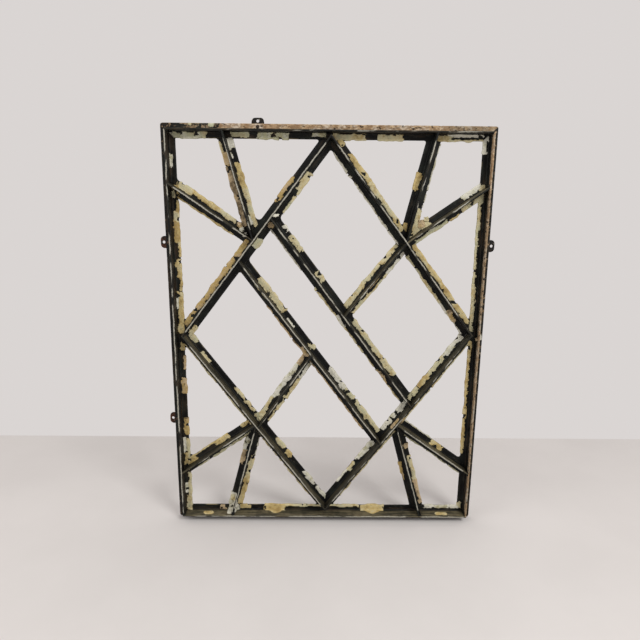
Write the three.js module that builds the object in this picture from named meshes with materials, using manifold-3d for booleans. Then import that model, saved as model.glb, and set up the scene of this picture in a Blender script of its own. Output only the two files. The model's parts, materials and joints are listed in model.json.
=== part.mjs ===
// A fixed window security bar: a rectangular frame of rolled steel T-bars with a diamond inside
// it, two long bars and two short bars across the diamond, and two bars fanning out to each
// corner. Four small plates riveted behind the frame take the screws that hold it to the wall.
//
// Millimetres. +X is to the right, +Y is away from the room and towards the wall, +Z is up.
// The origin is at the middle of the bounding box in X and Y, and at the bottom in Z.
import * as THREE from 'three';
import { mergeVertices } from 'three/addons/utils/BufferGeometryUtils.js';
import Module from 'manifold-3d';

const wasm = await Module();
wasm.setup();

// Every size that drives the design.
const FRAME = { width: 696, height: 895, cornerRadius: 7 };
const TEE = { width: 30, depth: 30, flange: 4, stem: 4, rootRadius: 2.5 };
const LUG = { width: 26, reach: 12, overlap: 11, thickness: 3, cornerRadius: 8 };
const SCREW_HOLE = { radius: 3.2, beyondFrame: 5.5 };
const RIVET = { shankRadius: 2, headRadius: 3.6, headHeight: 1.8, fromFrameEdge: 6.4 };
const GAP = 0.3; // clearance kept between neighbouring pieces
const ROUND_STEPS = 24; // sides of a full circle

// The wall side of the lugs, the back of the flanges and the front of the stems, along Y.
const TOTAL_DEPTH = TEE.depth + GAP + LUG.thickness;
const WALL_SIDE = TOTAL_DEPTH / 2;
const FLANGE_BACK = WALL_SIDE - LUG.thickness - GAP;
const FLANGE_FRONT = FLANGE_BACK - TEE.flange;

// The rolled section's centre line is this far in from the frame's edge.
const EDGE = TEE.width / 2;
const HALF_WIDTH = FRAME.width / 2;

// Points of the layout on the bars' centre lines, as [x, z].
const CORNER = {
  topLeft: [-HALF_WIDTH + EDGE, FRAME.height - EDGE],
  topRight: [HALF_WIDTH - EDGE, FRAME.height - EDGE],
  bottomLeft: [-HALF_WIDTH + EDGE, EDGE],
  bottomRight: [HALF_WIDTH - EDGE, EDGE],
};
const DIAMOND = { left: [-317, 450], top: [3, 870.5], right: [317, 456.5], bottom: [0, 32] };

// Where a point lies on the line from one point to another, as a share of its length.
const along = (from, to, share) => from.map((value, i) => value + (to[i] - value) * share);

// The corner bars spring from about the middle of each side of the diamond.
const SPRING = {
  topLeft: along(DIAMOND.left, DIAMOND.top, 0.493),
  topRight: along(DIAMOND.top, DIAMOND.right, 0.517),
  bottomLeft: along(DIAMOND.bottom, DIAMOND.left, 0.502),
  bottomRight: along(DIAMOND.right, DIAMOND.bottom, 0.495),
};

// The long bars run from the upper left side of the diamond to its lower right side.
const LONG_UPPER = [along(DIAMOND.left, DIAMOND.top, 0.608), along(DIAMOND.right, DIAMOND.bottom, 0.395)];
const LONG_LOWER = [along(DIAMOND.left, DIAMOND.top, 0.394), along(DIAMOND.right, DIAMOND.bottom, 0.606)];

// Each bar's centre line, from start to end.
const LINES = {
  top_rail: [CORNER.topLeft, CORNER.topRight],
  right_stile: [CORNER.topRight, CORNER.bottomRight],
  bottom_rail: [CORNER.bottomRight, CORNER.bottomLeft],
  left_stile: [CORNER.bottomLeft, CORNER.topLeft],
  diamond_upper_left: [DIAMOND.left, DIAMOND.top],
  diamond_upper_right: [DIAMOND.top, DIAMOND.right],
  diamond_lower_right: [DIAMOND.right, DIAMOND.bottom],
  diamond_lower_left: [DIAMOND.bottom, DIAMOND.left],
  long_bar_upper: LONG_UPPER,
  long_bar_lower: LONG_LOWER,
  short_bar_upper: [along(DIAMOND.top, DIAMOND.right, 0.52), along(...LONG_UPPER, 0.503)],
  short_bar_lower: [along(...LONG_LOWER, 0.5), along(DIAMOND.bottom, DIAMOND.left, 0.49)],
  corner_top_left_steep: [[-218.7, CORNER.topLeft[1]], SPRING.topLeft],
  corner_top_left_flat: [[CORNER.topLeft[0], 774], SPRING.topLeft],
  corner_top_right_steep: [[219.2, CORNER.topRight[1]], SPRING.topRight],
  corner_top_right_flat: [[CORNER.topRight[0], 771.7], SPRING.topRight],
  corner_bottom_left_steep: [[-218.1, EDGE], SPRING.bottomLeft],
  corner_bottom_left_flat: [[CORNER.bottomLeft[0], 123], SPRING.bottomLeft],
  corner_bottom_right_steep: [[223.2, EDGE], SPRING.bottomRight],
  corner_bottom_right_flat: [[CORNER.bottomRight[0], 123.5], SPRING.bottomRight],
};

// What each end of a bar runs into: a mitre with an equal partner, or a cope around a bar that
// runs through.
const mitre = (partner) => ({ kind: 'mitre', partner });
const cope = (...through) => ({ kind: 'cope', through });
const ENDS = {
  top_rail: [mitre('left_stile'), mitre('right_stile')],
  right_stile: [mitre('top_rail'), mitre('bottom_rail')],
  bottom_rail: [mitre('right_stile'), mitre('left_stile')],
  left_stile: [mitre('bottom_rail'), mitre('top_rail')],
  diamond_upper_left: [mitre('diamond_lower_left'), mitre('diamond_upper_right')],
  diamond_upper_right: [mitre('diamond_upper_left'), mitre('diamond_lower_right')],
  diamond_lower_right: [mitre('diamond_upper_right'), mitre('diamond_lower_left')],
  diamond_lower_left: [mitre('diamond_lower_right'), mitre('diamond_upper_left')],
  long_bar_upper: [cope('diamond_upper_left'), cope('diamond_lower_right')],
  long_bar_lower: [cope('diamond_upper_left'), cope('diamond_lower_right')],
  short_bar_upper: [cope('diamond_upper_right'), cope('long_bar_upper')],
  short_bar_lower: [cope('long_bar_lower'), cope('diamond_lower_left')],
};

// A corner bar is coped at both ends and mitred against its neighbour where they spring.
const CORNER_SIDES = {
  top_left: ['top_rail', 'left_stile', 'diamond_upper_left'],
  top_right: ['top_rail', 'right_stile', 'diamond_upper_right'],
  bottom_left: ['bottom_rail', 'left_stile', 'diamond_lower_left'],
  bottom_right: ['bottom_rail', 'right_stile', 'diamond_lower_right'],
};
for (const [corner, [rail, stile, side]] of Object.entries(CORNER_SIDES)) {
  const steep = `corner_${corner}_steep`;
  const flat = `corner_${corner}_flat`;
  ENDS[steep] = [cope(rail), { ...cope(side), beside: flat }];
  ENDS[flat] = [cope(stile), { ...cope(side), beside: steep }];
}

// Each lug: the bar it is riveted behind, its middle on the frame's edge, and its way out.
const LUGS = {
  top: { bar: 'top_rail', at: [-148, FRAME.height], outward: [0, 1] },
  left_upper: { bar: 'left_stile', at: [-HALF_WIDTH, 652], outward: [-1, 0] },
  left_lower: { bar: 'left_stile', at: [-HALF_WIDTH, 249], outward: [-1, 0] },
  right_upper: { bar: 'right_stile', at: [HALF_WIDTH, 650], outward: [1, 0] },
};

const MATERIALS = {
  frame: { color: 0x1d201f, roughness: 0.55, metalness: 0.35 },
  rusty: { color: 0x8a6648, roughness: 0.85, metalness: 0.2 },
  diamond: { color: 0x24261f, roughness: 0.55, metalness: 0.35 },
  bar: { color: 0x2b2a24, roughness: 0.6, metalness: 0.35 },
  corner: { color: 0x31302a, roughness: 0.6, metalness: 0.35 },
  lug: { color: 0x17181a, roughness: 0.5, metalness: 0.6 },
  rivet: { color: 0x3a3028, roughness: 0.7, metalness: 0.6 },
};

// --- Solids -----------------------------------------------------------------------------------

function solidOf(geometry, placement = new THREE.Matrix4()) {
  geometry.deleteAttribute('normal');
  geometry.deleteAttribute('uv');
  geometry.applyMatrix4(placement);
  const merged = mergeVertices(geometry, 1e-4);
  return new wasm.Manifold(new wasm.Mesh({
    numProp: 3,
    vertProperties: new Float32Array(merged.attributes.position.array),
    triVerts: new Uint32Array(merged.index.array),
  }));
}

function geometryOf(solid) {
  const { vertProperties, triVerts } = solid.getMesh();
  const geometry = new THREE.BufferGeometry();
  geometry.setAttribute('position', new THREE.BufferAttribute(vertProperties, 3));
  geometry.setIndex(new THREE.BufferAttribute(triVerts, 1));
  return geometry;
}

// A frame that travels from one layout point to another: its Z axis runs along the line, its Y
// axis points out of the wall at the viewer, and its X axis crosses the line.
function travel(from, to) {
  const forward = new THREE.Vector3(to[0] - from[0], 0, to[1] - from[1]).normalize();
  const outward = new THREE.Vector3(0, -1, 0);
  const across = new THREE.Vector3().crossVectors(outward, forward);
  return new THREE.Matrix4()
    .makeBasis(across, outward, forward)
    .setPosition(from[0], FLANGE_BACK, from[1]);
}

const distance = (from, to) => Math.hypot(to[0] - from[0], to[1] - from[1]);

// The T section, its flange against Y = 0 and its stem pointing along +Y, grown all round.
function teeShape(grow) {
  const halfFlange = TEE.width / 2 + grow;
  const halfStem = TEE.stem / 2 + grow;
  const root = TEE.rootRadius;
  const flangeTop = TEE.flange + grow;
  const shape = new THREE.Shape();
  shape.moveTo(-halfFlange, -grow);
  shape.lineTo(halfFlange, -grow);
  shape.lineTo(halfFlange, flangeTop);
  shape.absarc(halfStem + root, flangeTop + root, root, -Math.PI / 2, Math.PI, true);
  shape.lineTo(halfStem, TEE.depth + grow);
  shape.lineTo(-halfStem, TEE.depth + grow);
  shape.absarc(-halfStem - root, flangeTop + root, root, 0, -Math.PI / 2, true);
  shape.lineTo(-halfFlange, flangeTop);
  return shape;
}

// A T-bar along a named centre line, running past both its ends.
const OVERRUN = 60;
function teeBar(name, grow = 0) {
  const [from, to] = LINES[name];
  const settings = { depth: distance(from, to) + 2 * OVERRUN, bevelEnabled: false, curveSegments: 4 };
  const geometry = new THREE.ExtrudeGeometry(teeShape(grow), settings);
  geometry.translate(0, 0, -OVERRUN);
  return solidOf(geometry, travel(from, to));
}

// Everything on one side of the plane through a point that holds the Y axis and a direction.
// The side is the one that the away vector points to, starting a given distance off the plane.
const BLOCK = 1600;
function beyondPlane(point, direction, away, offset) {
  const normal = new THREE.Vector3(-direction[1], 0, direction[0]).normalize();
  if (normal.x * away[0] + normal.z * away[1] < 0) normal.negate();
  const line = new THREE.Vector3(direction[0], 0, direction[1]).normalize();
  const third = new THREE.Vector3().crossVectors(normal, line);
  const placement = new THREE.Matrix4().makeBasis(normal, line, third).setPosition(point[0], 0, point[1]);
  const geometry = new THREE.BoxGeometry(BLOCK, BLOCK, BLOCK);
  geometry.translate(BLOCK / 2 + offset, 0, 0);
  return solidOf(geometry, placement);
}

// --- Bars -------------------------------------------------------------------------------------

const unit = ([x, z]) => [x / Math.hypot(x, z), z / Math.hypot(x, z)];
const minus = (a, b) => [a[0] - b[0], a[1] - b[1]];

// The direction from the shared end of a bar into its length.
function inward(name, point) {
  const [from, to] = LINES[name];
  return distance(from, point) < distance(to, point) ? unit(minus(to, from)) : unit(minus(from, to));
}

// What lies past the mitre that two bars share at a point, as seen from the first of them.
function pastMitre(name, partner, point) {
  const own = inward(name, point);
  const other = inward(partner, point);
  const bisector = [own[0] + other[0], own[1] + other[1]];
  return beyondPlane(point, bisector, minus(other, own), -GAP / 2);
}

// What lies past the middle of a bar that runs through, together with that bar and its gap.
function pastThrough(name, through, point) {
  const [from, to] = LINES[through];
  const own = inward(name, point);
  const beyond = beyondPlane(point, minus(to, from), [-own[0], -own[1]], 0);
  return beyond.add(teeBar(through, GAP));
}

// The frame's outline, with rounded corners.
function frameOutline() {
  const r = FRAME.cornerRadius;
  const shape = new THREE.Shape();
  shape.absarc(HALF_WIDTH - r, r, r, -Math.PI / 2, 0);
  shape.absarc(HALF_WIDTH - r, FRAME.height - r, r, 0, Math.PI / 2);
  shape.absarc(-HALF_WIDTH + r, FRAME.height - r, r, Math.PI / 2, Math.PI);
  shape.absarc(-HALF_WIDTH + r, r, r, Math.PI, 1.5 * Math.PI);
  const geometry = new THREE.ExtrudeGeometry(shape, { depth: 2 * TOTAL_DEPTH, bevelEnabled: false, curveSegments: 6 });
  geometry.rotateX(Math.PI / 2);
  geometry.translate(0, TOTAL_DEPTH, 0);
  return solidOf(geometry);
}

const FRAME_BARS = ['top_rail', 'right_stile', 'bottom_rail', 'left_stile'];

function makeBar(name) {
  let bar = teeBar(name);
  LINES[name].forEach((point, i) => {
    const end = ENDS[name][i];
    if (end.kind === 'mitre') bar = bar.subtract(pastMitre(name, end.partner, point));
    for (const through of end.through ?? []) bar = bar.subtract(pastThrough(name, through, point));
    if (end.beside) bar = bar.subtract(pastMitre(name, end.beside, point));
  });
  if (FRAME_BARS.includes(name)) return bar.intersect(frameOutline());
  for (const frameBar of FRAME_BARS) bar = bar.subtract(teeBar(frameBar, GAP));
  return bar;
}

// --- Lugs and rivets --------------------------------------------------------------------------

// A frame at a lug: its X axis runs along the frame's edge, its Y axis points out of the frame,
// and its Z axis points at the viewer, starting from the flange's back.
function lugPlacement({ at, outward }) {
  const out = new THREE.Vector3(outward[0], 0, outward[1]);
  const viewer = new THREE.Vector3(0, -1, 0);
  const edge = new THREE.Vector3().crossVectors(out, viewer);
  return new THREE.Matrix4().makeBasis(edge, out, viewer).setPosition(at[0], FLANGE_BACK, at[1]);
}

// A round bar along Z, between two heights.
function roundBar(radius, x, y, low, high) {
  const geometry = new THREE.CylinderGeometry(radius, radius, high - low, ROUND_STEPS);
  geometry.rotateX(Math.PI / 2);
  geometry.translate(x, y, (low + high) / 2);
  return geometry;
}

const rivetHole = (placement) => solidOf(
  roundBar(RIVET.shankRadius + GAP, 0, -RIVET.fromFrameEdge, -2 * TEE.depth, 2 * TEE.depth),
  placement,
);

function makeLug(placement) {
  const half = LUG.width / 2;
  const r = LUG.cornerRadius;
  const shape = new THREE.Shape();
  shape.moveTo(-half, -LUG.overlap);
  shape.lineTo(half, -LUG.overlap);
  shape.absarc(half - r, LUG.reach - r, r, 0, Math.PI / 2);
  shape.absarc(r - half, LUG.reach - r, r, Math.PI / 2, Math.PI);
  const geometry = new THREE.ExtrudeGeometry(shape, { depth: LUG.thickness, bevelEnabled: false, curveSegments: 8 });
  geometry.translate(0, 0, -GAP - LUG.thickness);
  const screwHole = roundBar(SCREW_HOLE.radius, 0, SCREW_HOLE.beyondFrame, -2 * TEE.depth, 2 * TEE.depth);
  return solidOf(geometry, placement)
    .subtract(solidOf(screwHole, placement))
    .subtract(rivetHole(placement));
}

// A rivet turned about its axis: flush with the lug's back, with a domed head on the flange.
function makeRivet(placement) {
  const headBase = TEE.flange + GAP;
  const headTop = headBase + RIVET.headHeight;
  const dome = new THREE.SplineCurve([
    new THREE.Vector2(RIVET.headRadius, headBase + 0.3),
    new THREE.Vector2(RIVET.headRadius * 0.72, headBase + RIVET.headHeight * 0.72),
    new THREE.Vector2(0, headTop),
  ]);
  const profile = [
    new THREE.Vector2(0, -GAP - LUG.thickness),
    new THREE.Vector2(RIVET.shankRadius, -GAP - LUG.thickness),
    new THREE.Vector2(RIVET.shankRadius, headBase),
    new THREE.Vector2(RIVET.headRadius, headBase),
    ...dome.getPoints(6),
  ];
  const geometry = new THREE.LatheGeometry(profile, ROUND_STEPS);
  geometry.rotateX(Math.PI / 2);
  geometry.translate(0, -RIVET.fromFrameEdge, 0);
  return solidOf(geometry, placement);
}

// --- Assembly ---------------------------------------------------------------------------------

const assembly = new THREE.Group();

// Adds a solid made in place as a mesh that holds its own frame, position and turn.
function addPiece(name, solid, placement, material) {
  const geometry = geometryOf(solid).applyMatrix4(placement.clone().invert());
  const piece = new THREE.Mesh(geometry, new THREE.MeshStandardMaterial(MATERIALS[material]));
  piece.name = name;
  piece.applyMatrix4(placement);
  assembly.add(piece);
}

const materialOf = (name) => {
  if (name === 'top_rail') return 'rusty';
  if (FRAME_BARS.includes(name)) return 'frame';
  return ['diamond', 'corner'].find((word) => name.startsWith(word)) ?? 'bar';
};

for (const name of Object.keys(LINES)) {
  let bar = makeBar(name);
  for (const lug of Object.values(LUGS)) {
    if (lug.bar === name) bar = bar.subtract(rivetHole(lugPlacement(lug)));
  }
  addPiece(name, bar, travel(...LINES[name]), materialOf(name));
}

for (const [name, lug] of Object.entries(LUGS)) {
  const placement = lugPlacement(lug);
  addPiece(`lug_${name}`, makeLug(placement), placement, 'lug');
  addPiece(`rivet_${name}`, makeRivet(placement), placement, 'rivet');
}

export default assembly;
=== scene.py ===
"""Looks for the window security bar: worn T-bars with flaked putty, rust, weld beads and lugs.

Lengths are in metres unless a name ends in _MM. The frame stands upright: X to the right, Y
towards the wall, Z up. Every bar is a finely meshed copy of its CAD node, so it keeps the real
section, mitres and copes, and the wear is put on it with seeded noise.
"""

import json
import math

import bmesh
import bpy
import numpy as np
from mathutils import Matrix, Vector


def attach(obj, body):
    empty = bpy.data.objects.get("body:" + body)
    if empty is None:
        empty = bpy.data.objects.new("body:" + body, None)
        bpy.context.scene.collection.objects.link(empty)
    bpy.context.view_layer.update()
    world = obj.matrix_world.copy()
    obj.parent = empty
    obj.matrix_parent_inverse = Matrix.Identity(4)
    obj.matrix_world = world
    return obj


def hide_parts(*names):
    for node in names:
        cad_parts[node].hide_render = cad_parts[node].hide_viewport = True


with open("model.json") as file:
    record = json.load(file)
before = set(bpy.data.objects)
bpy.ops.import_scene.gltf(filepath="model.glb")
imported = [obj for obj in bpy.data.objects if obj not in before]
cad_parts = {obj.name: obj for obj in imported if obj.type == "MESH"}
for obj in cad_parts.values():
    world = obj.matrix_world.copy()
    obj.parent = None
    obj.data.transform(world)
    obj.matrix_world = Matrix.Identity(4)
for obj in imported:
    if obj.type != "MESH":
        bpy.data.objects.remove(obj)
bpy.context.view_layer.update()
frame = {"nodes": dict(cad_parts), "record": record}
scene = bpy.context.scene

MM = 0.001

# The rolled section, as the CAD part has it.
FLANGE_BACK = 0.01335
SECTION_DEPTH = 0.030
FLANGE_THICKNESS = 0.004
HALF_FLANGE = 0.015
HALF_STEM = 0.002

# The middle of the half flange on one side of the stem, from the bar's middle.
MIDDLE_OF_HALF = (HALF_FLANGE + HALF_STEM) / 2

# ------------------------------------------------------------------------------------- noise


def lattice(ix, iy, iz, seed):
    """Repeatable random numbers from -1 to 1 at whole-number grid points."""
    h = (ix * 374761393 + iy * 668265263 + iz * 2147483647 + seed * 974711) & 0xFFFFFFFF
    h = ((h ^ (h >> 13)) * 1274126177) & 0xFFFFFFFF
    h = h ^ (h >> 16)
    return (h & 0xFFFF) / 32767.5 - 1.0


def noise(points, scale, seed):
    """Smooth value noise from -1 to 1, with bumps about as wide as the scale."""
    p = points / scale
    cell = np.floor(p).astype(np.int64)
    f = p - cell
    f = f * f * (3.0 - 2.0 * f)
    total = np.zeros(len(points))
    for dx in (0, 1):
        wx = f[:, 0] if dx else 1.0 - f[:, 0]
        for dy in (0, 1):
            wy = f[:, 1] if dy else 1.0 - f[:, 1]
            for dz in (0, 1):
                wz = f[:, 2] if dz else 1.0 - f[:, 2]
                corner = lattice(cell[:, 0] + dx, cell[:, 1] + dy, cell[:, 2] + dz, seed)
                total += wx * wy * wz * corner
    return total


def layered(points, scale, layers, seed):
    """Several sizes of noise, each half as wide and half as strong as the one before."""
    total = np.zeros(len(points))
    for k in range(layers):
        total += noise(points, scale / 2**k, seed + 17 * k) / 2**k
    return total


def chips(points, size, seed):
    """Stepped noise from -1 to 1, in angular cells like those that old paint breaks into."""
    bent = np.stack([noise(points, size, seed + k) for k in (1, 2, 3)], 1)
    cell = np.floor(points / size + 0.45 * bent).astype(np.int64)
    return lattice(cell[:, 0], cell[:, 1], cell[:, 2], seed)


def smooth_step(low, high, x):
    t = np.clip((x - low) / (high - low), 0.0, 1.0)
    return t * t * (3.0 - 2.0 * t)


# ------------------------------------------------------------------------ where the putty is

# Tones of the old putty and paint: white, grey-green, cream, yellow, ochre, khaki, tan,
# grey-brown and brown.
W, G, C, Y, O, K, T, M, B = 0.0, 0.17, 0.34, 0.5, 0.67, 0.75, 0.83, 0.92, 1.0

# Patches on each bar, as (side, from, to, tone, reach). The side is +1 for the half of the
# flange to the right, or above on a rail. From and to are in mm, along X on the rails and the
# flat corner bars, and up Z on the others. The reach is the share of the half flange that is
# covered, from its outer edge, or from the stem where it is negative. It is more than 1 where
# the patch runs on over the root of the stem.
PATCHES = {
    "top_rail": [
        (-1, -331, -317, G, 1.0), (-1, -322, -252, G, 0.85), (-1, -203, -167, G, -0.8),
        (-1, -149, -83, G, 0.9), (-1, -36, -8, G, -0.6), (-1, 6, 74, C, 0.9),
        (-1, 97, 154, C, 0.8), (-1, 222, 252, C, 0.8), (-1, 244, 318, W, -0.45),
        (1, -291, -283, G, 0.45), (1, -251, -236, G, 0.5),
        (-1, 250, 318, C, 0.2),
    ],
    "bottom_rail": [
        (1, -251, -234, T, 0.8), (1, -229, -204, W, 1.0), (1, -201, -176, Y, 0.8),
        (1, -143, -94, Y, 1.5), (1, -96, 84, C, 0.32), (1, 84, 141, Y, 1.5),
        (1, 238, 330, W, 0.5), (1, -330, -318, C, 0.9),
    ],
    "left_stile": [
        (1, 806, 834, W, -0.45), (1, 716, 742, Y, 0.3), (1, 690, 716, C, 0.8), (1, 652, 700, O, 0.85),
        (1, 622, 662, Y, 0.35), (1, 575, 615, Y, 0.8), (1, 545, 580, Y, 0.3),
        (1, 507, 537, W, -0.6), (1, 452, 545, Y, 0.8), (1, 410, 430, Y, 0.8),
        (1, 366, 402, K, 0.3), (1, 310, 350, K, 0.75), (1, 211, 250, O, 0.8),
        (1, 165, 202, W, -0.5), (1, 128, 200, C, 0.45), (1, 122, 166, Y, 0.9),
        (1, 62, 86, W, -0.5), (1, 50, 114, C, 0.4), (1, 14, 52, C, 0.8),
    ],
    "right_stile": [
        (-1, 838, 882, W, 0.7), (-1, 738, 777, C, 0.7), (-1, 560, 742, C, 0.42),
        (-1, 462, 566, C, 0.5), (-1, 330, 440, Y, 0.45), (-1, 165, 335, Y, 0.42),
        (-1, 14, 42, C, 0.7), (1, 440, 453, W, -0.8),
    ],
    "diamond_upper_left": [
        (-1, 736, 788, O, 0.55), (-1, 765, 785, C, 0.3), (-1, 560, 655, O, 0.8),
        (-1, 470, 572, O, 0.75),
        (1, 764, 800, C, 0.9), (1, 718, 770, C, 0.25), (1, 686, 698, T, 0.8),
        (1, 644, 661, G, 0.9), (1, 452, 470, C, 0.8),
    ],
    "diamond_upper_right": [
        (1, 853, 866, Y, 0.9), (1, 776, 836, Y, 0.75), (1, 700, 782, C, 0.7),
        (1, 682, 706, Y, 0.9), (1, 560, 650, Y, 0.7), (1, 478, 566, Y, 0.7),
        (-1, 655, 845, W, 0.16), (-1, 528, 632, C, 0.3), (-1, 450, 530, W, 0.2),
        (-1, 482, 508, T, 0.8),
    ],
    "diamond_lower_right": [
        (-1, 400, 450, W, 0.8), (-1, 360, 404, C, 0.75), (-1, 330, 362, Y, 0.8),
        (-1, 300, 326, C, 0.8), (-1, 226, 292, W, 0.75), (-1, 148, 196, W, 0.8),
        (-1, 120, 140, C, 0.7), (-1, 88, 128, W, 0.3), (1, 60, 440, C, 0.13),
        (1, 233, 257, T, 0.6),
    ],
    "diamond_lower_left": [
        (1, 432, 450, C, 0.8), (1, 386, 412, C, -0.5), (1, 300, 324, C, 0.5),
        (1, 262, 302, C, 0.5), (1, 245, 262, G, 0.8), (1, 176, 200, C, 0.7),
        (1, 154, 169, Y, 0.9), (1, 84, 116, W, 0.6), (1, 44, 76, W, 0.45),
        (-1, 60, 430, C, 0.12),
    ],
    "long_bar_upper": [
        (1, 674, 690, W, 0.6), (1, 634, 666, C, 0.85), (1, 568, 591, C, 0.85), (1, 420, 482, C, 0.7),
        (1, 356, 424, C, 0.85), (-1, 600, 700, W, 0.1), (-1, 300, 560, C, 0.16),
        (-1, 470, 500, W, 0.5), (-1, 340, 372, T, 0.5),
    ],
    "long_bar_lower": [
        (1, 545, 576, C, 0.8), (1, 503, 541, C, 0.95), (1, 470, 490, W, -0.35),
        (1, 418, 431, C, 0.9), (1, 322, 372, W, 0.8), (1, 298, 326, C, 0.7),
        (1, 252, 292, C, 0.8), (1, 218, 256, C, 0.6), (-1, 230, 520, T, 0.16),
        (-1, 530, 560, C, -0.4), (-1, 400, 424, T, 0.7),
    ],
    "short_bar_upper": [
        (1, 590, 640, W, 0.4), (1, 530, 600, C, 0.25), (1, 552, 584, K, -0.4), (1, 503, 545, C, 0.6),
        (-1, 608, 650, C, 0.8), (-1, 560, 612, C, 0.5), (-1, 508, 562, C, 0.8),
    ],
    "short_bar_lower": [
        (1, 350, 396, W, 0.5), (1, 300, 352, C, 0.4), (1, 246, 306, C, 0.55),
        (-1, 380, 404, T, 0.8), (-1, 300, 384, W, 0.75), (-1, 262, 304, C, 0.6),
        (-1, 246, 268, C, 1.0),
    ],
    "corner_top_left_steep": [
        (1, 843, 866, W, 0.95), (1, 825, 838, W, -0.4), (1, 762, 818, Y, 0.75),
        (1, 684, 768, C, 0.75), (-1, 836, 862, C, 0.5), (-1, 812, 838, T, 0.8),
        (-1, 800, 812, B, 0.45), (-1, 752, 800, M, 0.75), (-1, 738, 755, T, 0.4),
        (-1, 686, 740, M, 0.85),
    ],
    "corner_top_left_flat": [
        (1, -318, -286, C, 0.9), (1, -290, -236, Y, 0.6), (1, -240, -196, C, 0.65),
        (-1, -325, -200, Y, 0.16), (-1, -331, -316, Y, 0.9),
    ],
    "corner_top_right_steep": [
        (-1, 764, 802, Y, 0.8), (-1, 668, 697, O, 0.85), (1, 678, 728, C, 0.8),
        (1, 730, 860, W, 0.1),
    ],
    "corner_top_right_flat": [
        (-1, 283, 322, W, 0.85), (-1, 196, 216, C, 0.9), (-1, 170, 202, C, 0.8),
        (1, 280, 320, C, 0.7), (1, 180, 252, G, 0.6), (1, 236, 286, Y, 0.16),
    ],
    "corner_bottom_left_flat": [
        (-1, -257, -224, Y, 0.9), (-1, -196, -172, Y, 0.7), (-1, -322, -300, Y, 0.95),
        (-1, -305, -255, Y, 0.14), (1, -300, -170, G, 0.3),
    ],
    "corner_bottom_left_steep": [
        (-1, 172, 205, W, 0.7), (-1, 136, 172, T, 0.7), (-1, 30, 62, W, 0.95),
        (1, 96, 160, C, 0.75), (1, 34, 102, Y, 0.8), (1, 158, 205, W, 0.12),
    ],
    "corner_bottom_right_flat": [
        (1, 246, 274, Y, 0.95), (1, 170, 245, W, 0.1), (-1, 180, 320, G, 0.12),
    ],
    "corner_bottom_right_steep": [
        (-1, 100, 146, O, 0.45), (1, 179, 193, T, 0.85), (1, 96, 160, C, 0.65),
        (1, 36, 100, T, 0.7),
    ],
}

# The share of rust on the outer half of each frame bar, as (from, to, rust) in mm.
RUST = {
    "top_rail": [(-348, -300, 0.42), (-300, -226, 0.52), (-226, 240, 1.0), (240, 348, 0.64)],
    "right_stile": [(0, 180, 0.6), (180, 480, 0.66), (480, 760, 0.62), (760, 895, 0.85)],
    "left_stile": [(0, 895, 0.34)],
    "bottom_rail": [(-348, 348, 0.25)],
}
OUTER_SIDE = {"top_rail": 1, "right_stile": 1, "left_stile": -1, "bottom_rail": -1}

# Patches that run up the stem's side, as (side, from, to, tone, lowest, highest, taper), with
# lowest and highest in mm off the flange's back. The taper is how much each end draws in for
# each mm of height.
STEM_PATCHES = {
    "bottom_rail": [
        (1, -138, -96, Y, 2, 21, 0.9), (1, 90, 138, Y, 2, 22, 1.1), (1, -288, -262, Y, 13, 25, 0.2),
        (1, 262, 291, Y, 13, 25, 0.0), (1, -232, -214, W, 2, 24, 0.0),
    ],
    "corner_top_left_steep": [(1, 690, 712, W, 2, 26, 0.0)],
    "corner_bottom_left_steep": [(-1, 26, 60, W, 2, 26, 0.0)],
    "diamond_lower_right": [(-1, 238, 262, T, 12, 26, 0.0)],
}

# How much of the stem's front edge shows a pale line, bar by bar: paint worn down to the metal, and a
# painted highlight where the stem's side catches the light.
FRONT_WEAR_AND_HIGHLIGHT = {
    "top_rail": 0.05, "right_stile": 0.05, "left_stile": 0.55, "bottom_rail": 0.55,
    "diamond_upper_left": 1.0, "diamond_upper_right": 0.5, "diamond_lower_left": 0.7,
    "diamond_lower_right": 0.15, "long_bar_upper": 0.5, "long_bar_lower": 0.7,
    "short_bar_upper": 0.2, "short_bar_lower": 0.3, "corner_top_left_steep": 0.9,
    "corner_top_left_flat": 0.85, "corner_top_right_steep": 0.25, "corner_top_right_flat": 0.5,
    "corner_bottom_left_flat": 0.4, "corner_bottom_left_steep": 0.6,
    "corner_bottom_right_flat": 0.7, "corner_bottom_right_steep": 0.7,
}

# How much the upward side of the stem is lightened, bar by bar: dust and faded paint, and a painted sheen
# of the light falling on the top.
DUST_AND_SHEEN = {
    "bottom_rail": 1.0, "corner_top_right_flat": 0.9, "corner_bottom_right_flat": 0.75,
    "diamond_lower_left": 0.6, "diamond_lower_right": 0.35, "short_bar_upper": 0.5,
    "corner_bottom_left_flat": 0.35, "corner_top_left_flat": 0.3, "long_bar_lower": 0.4,
}

# ---------------------------------------------------------------------------------- the bars


def coordinates(mesh):
    flat = np.empty(len(mesh.vertices) * 3, np.float32)
    mesh.vertices.foreach_get("co", flat)
    return flat.reshape(-1, 3).astype(float)


def normals_of(mesh):
    flat = np.empty(len(mesh.vertices) * 3, np.float32)
    mesh.vertices.foreach_get("normal", flat)
    return flat.reshape(-1, 3).astype(float)


def set_coordinates(mesh, points):
    mesh.vertices.foreach_set("co", points.astype(np.float32).ravel())
    mesh.update()


def link(name, mesh):
    piece = bpy.data.objects.new(name, mesh)
    scene.collection.objects.link(piece)
    return piece


def copy_of_node(name):
    piece = link(name + "_worn", frame["nodes"][name].data.copy())
    piece.data.materials.clear()
    return piece


def apply_modifiers(piece):
    graph = bpy.context.evaluated_depsgraph_get()
    mesh = bpy.data.meshes.new_from_object(piece.evaluated_get(graph))
    piece.modifiers.clear()
    old = piece.data
    piece.data = mesh
    bpy.data.meshes.remove(old)


def remesh(piece, voxel):
    modifier = piece.modifiers.new("remesh", "REMESH")
    modifier.mode = "VOXEL"
    modifier.voxel_size = voxel
    modifier.use_smooth_shade = True
    apply_modifiers(piece)


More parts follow.
